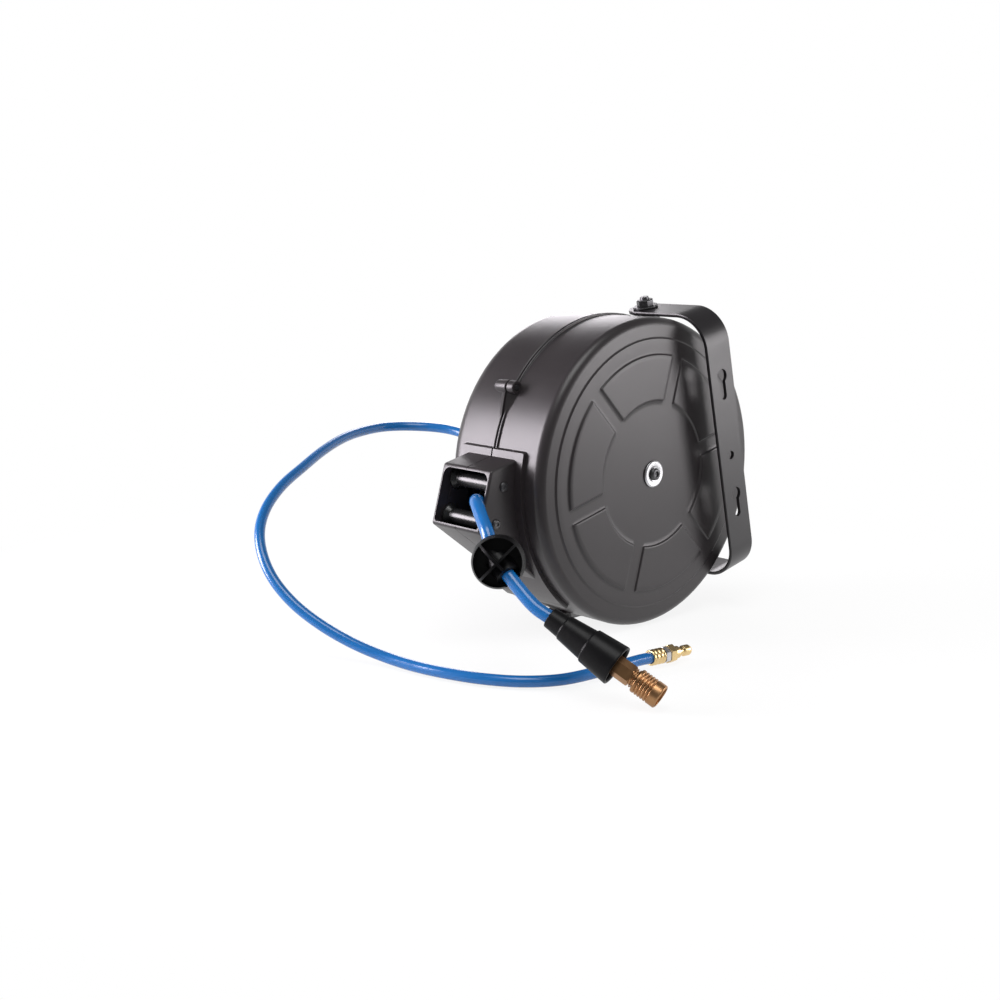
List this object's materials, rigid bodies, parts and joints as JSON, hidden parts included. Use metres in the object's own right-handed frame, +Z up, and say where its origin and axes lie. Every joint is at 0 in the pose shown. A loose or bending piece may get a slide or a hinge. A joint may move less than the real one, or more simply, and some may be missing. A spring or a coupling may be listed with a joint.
{
  "type": "air hose reel with quick disconnect coupler",
  "caption": "Round retractable hose reel in a moulded case with a swinging wall bracket, a hose stop, a lead hose and a quick disconnect coupler on the hose end.",
  "frame": {"origin": "on the floor under the middle of the reel's footprint, hoses and what is on them left out", "axes": "+Z up, +X away from the hose mouth, -Y out of the front face"},
  "size_m": [0.476, 0.5219, 0.3166],
  "materials": {
    "case_black": "satin moulded black",
    "strap_black": "satin black powder coat",
    "steel": "bright zinc",
    "dark_steel": "black oxide",
    "blue_hose": "glossy blue hose",
    "rubber": "matt black rubber",
    "brass": "bright brass",
    "bronze": "brown plated brass",
    "nylon": "black nylon",
    "drum_grey": "grey moulded drum"
  },
  "bodies": {
    "reel_body": {"front_case_half": "case_black", "rear_case_half": "case_black", "main_shaft": "steel", "axle_washer": "steel", "spring_arbor": "steel", "pawl_pin": "steel", "pawl_spring": "steel", "sleeve_retainer": "steel", "sleeve_spring": "steel", "valve_spring": "steel", "seam_screw_1": "dark_steel", "seam_screw_2": "dark_steel", "seam_screw_3": "dark_steel", "upper_roller_pin": "dark_steel", "lower_roller_pin": "dark_steel", "axle_bolt": "dark_steel", "power_spring": "dark_steel", "upper_pivot_washer": "dark_steel", "lower_pivot_washer": "dark_steel", "upper_pivot_bolt": "dark_steel", "lower_pivot_bolt": "dark_steel", "working_hose": "blue_hose", "lead_hose": "blue_hose", "hose_stop_half_1": "rubber", "hose_stop_half_2": "rubber", "coupler_boot": "rubber", "socket_seal": "rubber", "inlet_fitting": "brass", "swivel_nut": "brass", "inlet_ferrule": "brass", "coupler_ferrule": "brass", "coupler_tail": "brass", "plug_ferrule": "brass", "lead_plug": "brass", "coupler_body": "bronze"},
    "bracket": {"bracket_strap": "strap_black"},
    "drum": {"drum_hub": "drum_grey", "front_drum_flange": "drum_grey", "rear_drum_flange": "drum_grey", "inner_hose_layers": "blue_hose", "outer_hose_layer": "blue_hose", "front_bush": "nylon", "rear_bush": "nylon", "inner_rotary_seal": "rubber", "outer_rotary_seal": "rubber"},
    "upper_roller": {"upper_guide_roller": "nylon"},
    "lower_roller": {"lower_guide_roller": "nylon"},
    "release_sleeve": {"coupler_sleeve": "bronze"},
    "valve": {"check_valve": "brass"},
    "latch_pawl": {"pawl": "steel"},
    "ball_1": {"locking_ball_1": "steel"},
    "ball_2": {"locking_ball_2": "steel"},
    "ball_3": {"locking_ball_3": "steel"},
    "ball_4": {"locking_ball_4": "steel"}
  },
  "joints": [
    {"name": "bracket_swing", "type": "hinge", "parent": "reel_body", "child": "bracket", "pos_m": [0.10729, -0.0126, 0.1716], "axis": [-0.225, 0, 0.9744], "range_deg": [0, 180]},
    {"name": "drum_spin", "type": "hinge", "parent": "reel_body", "child": "drum", "pos_m": [0.0196, -0.0126, 0.15135], "axis": [0, 1, 0], "continuous": true, "deforming": ["power_spring"]},
    {"name": "upper_roller_spin", "type": "hinge", "parent": "reel_body", "child": "upper_roller", "pos_m": [-0.14766, -0.0126, 0.15471], "axis": [0, 1, 0], "continuous": true},
    {"name": "lower_roller_spin", "type": "hinge", "parent": "reel_body", "child": "lower_roller", "pos_m": [-0.15694, -0.0126, 0.12148], "axis": [0, 1, 0], "continuous": true},
    {"name": "pawl_swing", "type": "hinge", "parent": "reel_body", "child": "latch_pawl", "pos_m": [0.00672, 0.0347, 0.20995], "axis": [0, 1, 0], "range_deg": [0, 10], "stiffness_Nm_per_rad": 0.05, "deforming": ["pawl_spring"]},
    {"name": "sleeve_slide", "type": "slide", "parent": "reel_body", "child": "release_sleeve", "axis": [-0.3171, 0.8143, 0.4862], "range_m": [0, 0.004], "stiffness_N_per_m": 800, "springref_m": -0.002, "deforming": ["sleeve_spring"]},
    {"name": "valve_slide", "type": "slide", "parent": "reel_body", "child": "valve", "axis": [-0.3171, 0.8143, 0.4862], "range_m": [0, 0.004], "stiffness_N_per_m": 300, "springref_m": -0.002, "deforming": ["valve_spring"]},
    {"name": "ball_1_slide", "type": "slide", "parent": "reel_body", "child": "ball_1", "axis": [0.9241, 0.15, 0.3516], "range_m": [0, 0.0012]},
    {"name": "ball_2_slide", "type": "slide", "parent": "reel_body", "child": "ball_2", "axis": [-0.2134, -0.5607, 0.8], "range_m": [0, 0.0012]},
    {"name": "ball_3_slide", "type": "slide", "parent": "reel_body", "child": "ball_3", "axis": [-0.9241, -0.15, -0.3516], "range_m": [0, 0.0012]},
    {"name": "ball_4_slide", "type": "slide", "parent": "reel_body", "child": "ball_4", "axis": [0.2134, 0.5607, -0.8], "range_m": [0, 0.0012]}
  ],
  "couplings": [
    {"joint": "ball_1_slide", "follows": "sleeve_slide", "ratio": 0.3},
    {"joint": "ball_2_slide", "follows": "sleeve_slide", "ratio": 0.3},
    {"joint": "ball_3_slide", "follows": "sleeve_slide", "ratio": 0.3},
    {"joint": "ball_4_slide", "follows": "sleeve_slide", "ratio": 0.3}
  ]
}
